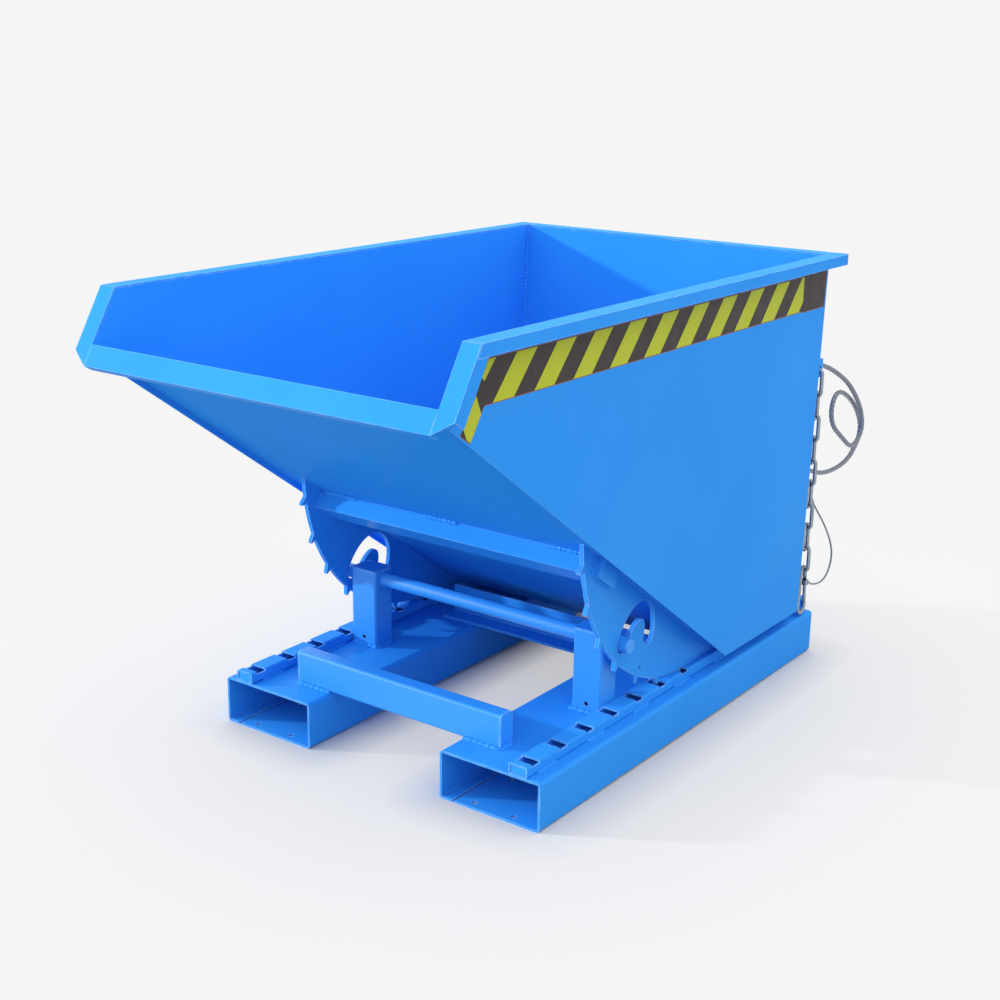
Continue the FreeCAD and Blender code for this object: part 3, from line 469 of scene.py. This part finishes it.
def link_line(index):
    """Centre line of a link: two half rounds and two straight legs."""
    height = LINK_TOP - LINK_BEND - LINK_REACH - index * LINK_STEP
    centre = at(CHAIN_X, CHAIN_Y, height)
    wide = Vector((0, 1, 0)) if index % 2 else Vector((1, 0, 0))
    tall = Vector((0, 0, 1))
    points = []
    for end in (1, -1):
        for step in range(LINK_BEND_STEPS + 1):
            turn = math.pi * step / LINK_BEND_STEPS
            bend = wide * math.cos(turn) * LINK_BEND + tall * math.sin(turn) * LINK_BEND
            points.append(centre + bend * end + tall * LINK_REACH * end)
        for share in LINK_LEG_SHARES:
            points.append(centre - wide * LINK_BEND * end + tall * LINK_REACH * share * end)
    return points


def link_ring(index, run):
    """Ring of a link's wire, with the weld's swelling on the middle of one leg."""
    near = max(0.0, 1 - abs(index - LINK_WELD_RING) / LINK_WELD_REACH)
    return circle(LINK_WIRE / 2 * (1 + LINK_WELD_SWELL * near), LINK_SIDES)


def add_links(name, node, body, indices):
    """Links of the chain, in place of a CAD node."""
    verts, faces = [], []
    for index in indices:
        add_tube(verts, faces, link_line(index), link_ring, closed=True)
    piece = new_object(name, verts, faces)
    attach(piece, body)
    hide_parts(node)
    return piece


def hook_side(height):
    """Point on the rear side of the snap hook at a height above its lowest centre point."""
    y = HOOK_BOW_RADIUS * math.cos(HOOK_TILT)
    z = HOOK_BOW_RADIUS + HOOK_BOW_RADIUS * math.sin(HOOK_TILT)
    return at(CHAIN_X, CHAIN_Y + y - (height - z) * math.tan(HOOK_TILT), HOOK_LOW + height)


def hook_round(radius, centre_height, first, last, steps):
    """Arc of the snap hook's centre line, from one angle to another."""
    points = []
    for step in range(steps + 1):
        turn = first + (last - first) * step / steps
        height = HOOK_LOW + centre_height + radius * math.sin(turn)
        points.append(at(CHAIN_X, CHAIN_Y + radius * math.cos(turn), height))
    return points


def hook_ring(points):
    """Ring function for the hook's wire, whose far end is rounded off."""
    total = running_length(points)[-1]

    def ring(index, run):
        share = min(1.0, (total - run) / HOOK_NOSE_ROUND)
        close = math.sqrt(max(HOOK_NOSE_FLAT, 1 - (1 - share) ** 2))
        return circle(HOOK_WIRE / 2 * close, HOOK_SIDES)
    return ring


def add_hook():
    """Bent wire of the snap hook, with two round bosses for the gate's eye."""
    pivot = hook_side(GATE_HEIGHT)
    points = [hook_side(GATE_HEIGHT + GATE_EYE / 2)]
    points += hook_round(HOOK_TOP_RADIUS, HOOK_LENGTH - HOOK_TOP_RADIUS,
                         HOOK_TILT, math.pi - HOOK_TILT, HOOK_TOP_STEPS)
    points += hook_round(HOOK_BOW_RADIUS, HOOK_BOW_RADIUS,
                         math.pi - HOOK_TILT, 2 * math.pi + HOOK_TILT, HOOK_BOW_STEPS)
    points += [hook_side(HOOK_NOSE - back) for back in HOOK_NOSE_STEPS]
    verts, faces = [], []
    add_tube(verts, faces, points, hook_ring(points))
    radius = HOOK_BOSS / 2
    for side in (-1, 1):
        outer = side * HOOK_BOSS_WIDTH / 2
        outline = [
            (side * HOOK_SLOT / 2, radius),
            (outer - side * HOOK_BOSS_ROUND, radius),
            (outer - side * HOOK_BOSS_CORNER, radius - HOOK_BOSS_CORNER),
            (outer, radius - HOOK_BOSS_ROUND),
        ]
        add_turned(verts, faces, pivot, outline if side > 0 else outline[::-1])
    hook = new_object("snap_hook_wire", verts, faces)
    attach(hook, "chain")
    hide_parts("snap_hook")
    return hook


def add_gate():
    """Rod of the gate, with a flat tongue and an eye between the hook's bosses."""
    low = HOOK_NOSE + GATE_CLEARANCE
    shoulder = GATE_HEIGHT - HOOK_BOSS / 2 - GATE_CLEARANCE
    rod = [low + rise for rise in GATE_TIP_STEPS]
    rod += [shoulder - drop for drop in GATE_SHOULDER_STEPS]
    tongue = [shoulder + GATE_TONGUE_STEP, GATE_HEIGHT]
    half = GATE_TONGUE / 2

    def ring(index, run):
        shape = circle(GATE_WIRE / 2 * (1.0 if index else GATE_TIP), GATE_SIDES)
        if index < len(rod):
            return shape
        return [(max(-half, min(half, a)), b) for a, b in shape]

    verts, faces = [], []
    add_tube(verts, faces, [hook_side(height) for height in rod + tongue], ring)
    eye = [(-half, GATE_EYE / 2), (half, GATE_EYE / 2)]
    add_turned(verts, faces, hook_side(GATE_HEIGHT), eye)
    gate = new_object("snap_hook_gate_rod", verts, faces)
    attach(gate, "hook_gate")
    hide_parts("snap_hook_gate")
    return gate


# Weld seams

def bead_ring(total, radius):
    """Ring function for a weld bead: ripples along it, uneven width, round ends."""
    def ring(index, run):
        ripple = BEAD_RIPPLE * abs(math.sin(math.pi * run / (BEAD_RIPPLE_PITCH * radius)))
        wave = BEAD_WAVE * math.sin(BEAD_WAVE_RATE * run / radius + total * BEAD_WAVE_SHIFT)
        grain = BEAD_GRAIN * math.sin(run * BEAD_GRAIN_RATE)
        end = min(run, total - run) / (BEAD_END * radius)
        close = math.sqrt(max(BEAD_END_FLAT, 1 - max(0.0, 1 - end) ** 2))
        return circle(radius * close * (BEAD_BODY + ripple + wave + grain), BEAD_SIDES)
    return ring


def add_welds(name, body, seams, radius):
    """Beads along straight seams, given as pairs of places."""
    verts, faces = [], []
    for start, end in seams:
        a, b = at(*start), at(*end)
        total = (b - a).length
        steps = max(BEAD_LEAST_STEPS, round(total / (BEAD_STEP * radius)))
        points = [a.lerp(b, k / steps) for k in range(steps + 1)]
        add_tube(verts, faces, points, bead_ring(total, radius))
    piece = new_object(name, verts, faces)
    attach(piece, body)
    return piece


def both_sides(seams):
    """The seams of the right side and their mirror images."""
    return seams + [((-a[0], a[1], a[2]), (-b[0], b[1], b[2])) for a, b in seams]


def stitches(start, end, count, length):
    """Short seams spread evenly along a line."""
    a, b = Vector(start), Vector(end)
    along = (b - a).normalized()
    room = (b - a).length - length
    seams = []
    for index in range(count):
        first = a + along * room * index / (count - 1)
        seams.append((tuple(first), tuple(first + along * length)))
    return seams


# Hazard tape

def clip(polygon, inside):
    """Part of a polygon on the positive side of a line function."""
    kept = []
    for before, here in zip(polygon[-1:] + polygon[:-1], polygon):
        b, h = inside(before), inside(here)
        if (b < 0) != (h < 0):
            share = b / (b - h)
            kept.append(tuple(p + (q - p) * share for p, q in zip(before, here)))
        if h >= 0:
            kept.append(here)
    return kept


def stripe(index):
    """Part of the band that a yellow stripe covers."""
    first = STRIPE_START + index * 2 * STRIPE_WIDTH
    low = TAPE_BAND[2][1]

    def foot(point):
        return point[0] - (point[1] - low) * STRIPE_LEAN

    left = clip(TAPE_BAND, lambda p: foot(p) - first)
    return clip(left, lambda p: first + STRIPE_WIDTH - foot(p)) if left else []


def grown(polygon, edge):
    """A convex polygon with its sides moved out."""
    corners = [Vector(p) for p in polygon]
    middle = sum(corners, Vector((0, 0))) / len(corners)
    lines = []
    for a, b in zip(corners, corners[1:] + corners[:1]):
        normal = Vector((b.y - a.y, a.x - b.x)).normalized()
        if normal.dot(middle - a) > 0:
            normal = -normal
        lines.append((normal, normal.dot(a) + edge))
    moved = []
    for (m, c), (n, d) in zip(lines[-1:] + lines[:-1], lines):
        size = m.x * n.y - m.y * n.x
        moved.append(((c * n.y - d * m.y) / size, (m.x * d - n.x * c) / size))
    return moved


def add_foil(verts, faces, polygon, side, layers):
    """Thin plate on a side wall with that outline, as many foils high as layers."""
    first = len(verts)
    count = len(polygon)
    for x in (WALL_X, WALL_X + TAPE_FOIL * layers):
        verts.extend(at(side * x, y, z) for y, z in polygon)
    area = sum(a[0] * b[1] - b[0] * a[1] for a, b in zip(polygon, polygon[1:] + polygon[:1]))
    outward = (area > 0) == (side > 0)
    back = [first + k for k in range(count)]
    front = [first + count + k for k in range(count)]
    faces.append(tuple(back[::-1] if outward else back))
    faces.append(tuple(front if outward else front[::-1]))
    for k in range(count):
        n = (k + 1) % count
        strip = (back[k], back[n], front[n], front[k])
        faces.append(strip if outward else strip[::-1])


def add_tape(name, side, foils, material):
    """Foils on one side wall, given as outlines and how many foils high they lie."""
    verts, faces = [], []
    for polygon, layers in foils:
        if len(polygon) > 2:
            add_foil(verts, faces, polygon, side, layers)
    piece = new_object(name, verts, faces, smooth=False)
    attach(piece, "tub")
    piece.data.materials.append(material)


# Materials

class Nodes:
    """Short way to build a material's nodes."""

    def __init__(self, name):
        self.material = bpy.data.materials.new(name)
        self.material.use_nodes = True
        self.tree = self.material.node_tree
        self.shader = self.tree.nodes["Principled BSDF"]
        self.place = self.add("ShaderNodeTexCoord").outputs["Object"]

    def add(self, kind, **values):
        node = self.tree.nodes.new(kind)
        for key, value in values.items():
            setattr(node, key, value)
        return node

    def link(self, output, target):
        self.tree.links.new(output, target)

    def noise(self, scale, detail=3.0, rough=0.55):
        node = self.add("ShaderNodeTexNoise")
        node.inputs["Scale"].default_value = scale
        node.inputs["Detail"].default_value = detail
        node.inputs["Roughness"].default_value = rough
        self.link(self.place, node.inputs["Vector"])
        return node.outputs["Fac"]

    def ramp(self, value, stops):
        node = self.add("ShaderNodeValToRGB")
        elements = node.color_ramp.elements
        while len(elements) < len(stops):
            elements.new(0.5)
        for element, (place, colour) in zip(elements, stops):
            element.position = place
            element.color = (*colour, 1.0)
        self.link(value, node.inputs["Fac"])
        return node.outputs["Color"]

    def spread(self, value, source, target):
        """A value mapped from one range to another."""
        node = self.add("ShaderNodeMapRange")
        keys = ("From Min", "From Max", "To Min", "To Max")
        for key, number in zip(keys, (*source, *target)):
            node.inputs[key].default_value = number
        self.link(value, node.inputs["Value"])
        return node.outputs["Result"]

    def mix(self, share, one, two):
        node = self.add("ShaderNodeMix", data_type="RGBA")
        sockets = {s.identifier: s for s in node.inputs}
        for key, value in (("Factor_Float", share), ("A_Color", one), ("B_Color", two)):
            if isinstance(value, bpy.types.NodeSocket):
                self.link(value, sockets[key])
            else:
                sockets[key].default_value = (*value, 1.0)
        return {s.identifier: s for s in node.outputs}["Result_Color"]

    def math(self, operation, one, two=None):
        node = self.add("ShaderNodeMath", operation=operation)
        for target, value in zip(node.inputs, (one, two)):
            if isinstance(value, bpy.types.NodeSocket):
                self.link(value, target)
            elif value is not None:
                target.default_value = value
        return node.outputs["Value"]

    def bump(self, height, distance, strength, under=None):
        node = self.add("ShaderNodeBump")
        node.inputs["Distance"].default_value = distance
        node.inputs["Strength"].default_value = strength
        self.link(height, node.inputs["Height"])
        if under is not None:
            self.link(under, node.inputs["Normal"])
        return node.outputs["Normal"]

    def edges(self, radius):
        """1 on sharp edges, 0 on flat sheet."""
        bevel = self.add("ShaderNodeBevel", samples=EDGE_SAMPLES)
        bevel.inputs["Radius"].default_value = radius
        geometry = self.add("ShaderNodeNewGeometry")
        dot = self.add("ShaderNodeVectorMath", operation="DOT_PRODUCT")
        self.link(bevel.outputs["Normal"], dot.inputs[0])
        self.link(geometry.outputs["Normal"], dot.inputs[1])
        return self.spread(dot.outputs["Value"], EDGE_RANGE, SHARE)

    def set(self, **values):
        for key, value in values.items():
            self.shader.inputs[key.replace("_", " ")].default_value = value

    def wire(self, name, output):
        self.link(output, self.shader.inputs[name])


def paint_material(name, wear_and_highlight_width, gloss, gloss_roughness):
    """Blue paint on steel: faint clouds, soft orange peel, edges pale over a width, partly rubbed
    wear and partly a painted highlight.
    """
    n = Nodes(name)
    cloud = n.spread(n.noise(scale=2.6, detail=4.0), (0.35, 0.68), SHARE)
    # Edges made pale in patches: rubbed wear and a painted highlight along them
    wear_and_highlight_patches = n.spread(n.noise(scale=45.0, detail=4.0, rough=0.65), (0.36, 0.60), (0.25, 1.0))
    wear_and_highlight_share = n.math("MULTIPLY", n.edges(wear_and_highlight_width), wear_and_highlight_patches)
    n.wire("Base Color", n.mix(wear_and_highlight_share, n.mix(cloud, PAINT_DEEP, PAINT), PAINT_WEAR_AND_HIGHLIGHT))
    patches = n.noise(scale=9.0, detail=3.0, rough=0.6)
    n.wire("Roughness", n.spread(patches, NOISE_RANGE, (0.30, 0.42)))
    peel = n.bump(n.noise(scale=190.0, detail=1.0), distance=0.0008, strength=0.04)
    sheet = n.noise(scale=4.5, detail=1.0)
    n.wire("Normal", n.bump(sheet, distance=0.004, strength=0.10, under=peel))
    n.set(IOR=PAINT_IOR, Specular_IOR_Level=0.0, Coat_Weight=gloss,
          Coat_Roughness=gloss_roughness, Coat_IOR=PAINT_IOR)
    return n.material


def zinc_material():
    """Dull zinc plating: soft blotches and fine scratches."""
    n = Nodes("zinc_steel")
    blotch = n.noise(scale=160.0, detail=4.0, rough=0.6)
    n.wire("Base Color", n.ramp(blotch, [(0.30, ZINC_DARK), (0.70, ZINC_LIGHT)]))
    n.wire("Roughness", n.spread(n.noise(scale=260.0), NOISE_RANGE, (0.18, 0.34)))
    scratches = n.noise(scale=900.0, detail=2.0)
    n.wire("Normal", n.bump(scratches, distance=0.0002, strength=0.25))
    n.set(Metallic=1.0)
    return n.material


def rope_material():
    """Galvanised wire rope: grey strands, darker where dirt sits."""
    n = Nodes("wire_rope")
    dirt = n.noise(scale=240.0, detail=4.0, rough=0.6)
    n.wire("Base Color", n.ramp(dirt, [(0.32, ROPE_DARK), (0.66, ROPE_LIGHT)]))
    n.wire("Roughness", n.spread(n.noise(scale=500.0, detail=2.0), NOISE_RANGE, (0.26, 0.44)))
    wires = n.noise(scale=1500.0, detail=2.0)
    n.wire("Normal", n.bump(wires, distance=0.0002, strength=0.35))
    n.set(Metallic=0.9)
    return n.material


def foil_material(name, colour, worn, roughness):
    """Printed foil with faint wear and a slight grain of its print."""
    n = Nodes(name)
    wear = n.spread(n.noise(scale=70.0, detail=6.0, rough=0.7), (0.58, 0.78), SHARE)
    n.wire("Base Color", n.mix(wear, colour, worn))
    rough_range = (roughness - FOIL_SMOOTHER, roughness + FOIL_ROUGHER)
    n.wire("Roughness", n.spread(n.noise(scale=30.0), NOISE_RANGE, rough_range))
    grain = n.noise(scale=600.0, detail=1.0)
    n.wire("Normal", n.bump(grain, distance=0.0002, strength=0.15))
    n.set(Specular_IOR_Level=0.2)
    return n.material


def seen_rays(tree):
    """1 for the rays that see the backdrop: the camera's, and those off gloss or through glass."""
    rays = tree.nodes.new("ShaderNodeLightPath")
    seen = rays.outputs["Is Camera Ray"]
    for key in ("Is Glossy Ray", "Is Transmission Ray"):
        either = tree.nodes.new("ShaderNodeMath")
        either.operation = "MAXIMUM"
        tree.links.new(seen, either.inputs[0])
        tree.links.new(rays.outputs[key], either.inputs[1])
        seen = either.outputs["Value"]
    return seen


def floor_material():
    """Pale studio floor: the object's shadow near it, the backdrop's even tone away from it."""
    n = Nodes("studio_floor")
    seen = seen_rays(n.tree)
    n.wire("Base Color", n.mix(seen, FLOOR_BOUNCE, FLOOR_SEEN))
    n.set(Roughness=0.9, Specular_IOR_Level=0.1)
    split = n.add("ShaderNodeSeparateXYZ")
    n.link(n.place, split.inputs["Vector"])
    across = n.math("SUBTRACT", n.math("ABSOLUTE", split.outputs["X"]), POCKET_X)
    along = n.math("SUBTRACT", split.outputs["Y"], POCKET_Y)
    outside = n.add("ShaderNodeCombineXYZ")
    for key, value, half in (("X", across, POCKET_WIDTH / 2), ("Y", along, POCKET_LENGTH / 2)):
        past = n.math("SUBTRACT", n.math("ABSOLUTE", value), half)
        n.link(n.math("MAXIMUM", past, 0.0), outside.inputs[key])
    distance = n.add("ShaderNodeVectorMath", operation="LENGTH")
    n.link(outside.outputs["Vector"], distance.inputs[0])
    faded = n.ramp(distance.outputs["Value"], FLOOR_FADE)
    glow = n.add("ShaderNodeEmission")
    glow.inputs["Color"].default_value = (*BACKDROP, 1.0)
    blend = n.add("ShaderNodeMixShader")
    n.link(n.math("MULTIPLY", faded, seen), blend.inputs["Fac"])
    n.link(n.shader.outputs["BSDF"], blend.inputs[1])
    n.link(glow.outputs["Emission"], blend.inputs[2])
    n.link(blend.outputs["Shader"], n.tree.nodes["Material Output"].inputs["Surface"])
    return n.material


def soften(node):
    """Round a CAD node's sharp edges a little, for the light to catch."""
    obj = frame["nodes"][node]
    weld = obj.modifiers.new("weld", "WELD")
    weld.merge_threshold = SOFT_MERGE
    bevel = obj.modifiers.new("bevel", "BEVEL")
    bevel.width = SOFT_EDGE
    bevel.segments = SOFT_SEGMENTS
    bevel.limit_method = "ANGLE"
    bevel.angle_limit = math.radians(SOFT_FROM_ANGLE)
    normals = obj.modifiers.new("normals", "WEIGHTED_NORMAL")
    normals.weight = SOFT_NORMAL_WEIGHT


# Light and floor

def add_lights():
    """Low sun from the front left, and an even pale sky that is brighter overhead."""
    sun = bpy.data.lights.new("key_sun", "SUN")
    sun.energy = SUN_STRENGTH
    sun.angle = math.radians(SUN_ANGLE)
    lamp = bpy.data.objects.new("key_sun", sun)
    lamp.rotation_euler = Vector(SUN_TOWARD).to_track_quat("Z", "Y").to_euler()
    scene.collection.objects.link(lamp)
    world = bpy.data.worlds.new("studio_world")
    world.use_nodes = True
    scene.world = world
    tree = world.node_tree
    sky = tree.nodes["Background"]
    sky.inputs["Color"].default_value = (1.0, 1.0, 1.0, 1.0)
    place = tree.nodes.new("ShaderNodeTexCoord")
    split = tree.nodes.new("ShaderNodeSeparateXYZ")
    tree.links.new(place.outputs["Generated"], split.inputs["Vector"])
    rise = tree.nodes.new("ShaderNodeMapRange")
    rise.inputs["To Min"].default_value = SKY_LOW
    rise.inputs["To Max"].default_value = SKY_HIGH
    tree.links.new(split.outputs["Z"], rise.inputs["Value"])
    tree.links.new(rise.outputs["Result"], sky.inputs["Strength"])
    backdrop = tree.nodes.new("ShaderNodeBackground")
    backdrop.inputs["Color"].default_value = (*BACKDROP, 1.0)
    blend = tree.nodes.new("ShaderNodeMixShader")
    tree.links.new(seen_rays(tree), blend.inputs["Fac"])
    tree.links.new(sky.outputs["Background"], blend.inputs[1])
    tree.links.new(backdrop.outputs["Background"], blend.inputs[2])
    tree.links.new(blend.outputs["Shader"], tree.nodes["World Output"].inputs["Surface"])


def add_floor(material):
    """Round floor, wide enough to fill the view."""
    verts = [Vector((a, b, 0)) for a, b in circle(FLOOR_RADIUS, FLOOR_SIDES)]
    floor = new_object("studio_floor", verts, [tuple(range(FLOOR_SIDES))])
    floor.data.materials.append(material)


scene.view_settings.view_transform = "Standard"
add_camera()

# Pieces in place of CAD nodes
cords = [
    add_cord("release_rope_strands", "release_rope", "tub", ROPE_ROUTE, ROPE_DIAMETER,
             ROPE_LAY),
    add_cord("lanyard_strands", "lanyard", "chain", LANYARD_ROUTE, LANYARD_DIAMETER,
             LANYARD_LAY),
]
chain_pieces = [
    add_links("chain_top_link_wire", "chain_top_link", "tub", range(1)),
    add_links("chain_links_wire", "chain_links", "chain", range(1, LINK_COUNT)),
    add_hook(),
    add_gate(),
]

# Weld beads
rail_seams = [seam for row in RAIL_STITCHES for seam in stitches(*row)]
welds = [
    add_welds("rail_welds", "base", both_sides(rail_seams) + LUG_SEAMS, RAIL_BEAD),
    add_welds("foot_welds", "base", both_sides(FOOT_SEAMS), FOOT_BEAD),
    add_welds("bar_welds", "tub", BAR_SEAMS, BAR_BEAD),
    add_welds("tub_welds", "tub", both_sides(TUB_SEAMS) + TAB_SEAMS, TUB_BEAD),
]

# Materials of those pieces and of the CAD nodes
finishes = {name: paint_material(name, *values) for name, values in PAINT_FINISHES.items()}
finishes["zinc_steel"] = zinc_material()
finishes["wire_rope"] = rope_material()
for part in frame["record"]["subparts"]:
    materials = frame["nodes"][part["node"]].data.materials
    materials.clear()
    materials.append(finishes[OWN_PAINT.get(part["node"], part["material_slot"])])
for pieces, finish in ((cords, "wire_rope"), (chain_pieces, "zinc_steel"), (welds, "blue_paint")):
    for piece in pieces:
        piece.data.materials.append(finishes[finish])

# Hazard tape
yellow = foil_material("tape_yellow", YELLOW, YELLOW_WORN, YELLOW_ROUGHNESS)
black = foil_material("tape_black", BLACK, BLACK_WORN, BLACK_ROUGHNESS)
brown = foil_material("tape_edge", BROWN, BROWN_WORN, BROWN_ROUGHNESS)
edge_foils = [(grown(p, TAPE_EDGE), EDGE_LAYERS) for p in (TAPE_BAND, TAPE_LEG, TAPE_BLOCK)]
black_foils = [(TAPE_BAND, BAND_LAYERS), (TAPE_LEG, LEG_LAYERS), (TAPE_BLOCK, BLOCK_LAYERS)]
yellow_foils = [(stripe(index), STRIPE_LAYERS) for index in range(-1, STRIPE_COUNT)]
yellow_foils.append((TAPE_LEG_YELLOW, LEG_YELLOW_LAYERS))
for side, hand in ((1, "right"), (-1, "left")):
    add_tape("tape_edge_" + hand, side, edge_foils, brown)
    add_tape("tape_black_" + hand, side, black_foils, black)
    add_tape("tape_yellow_" + hand, side, yellow_foils, yellow)

for node in FOLDED_SHEETS:
    soften(node)

add_lights()
add_floor(floor_material())
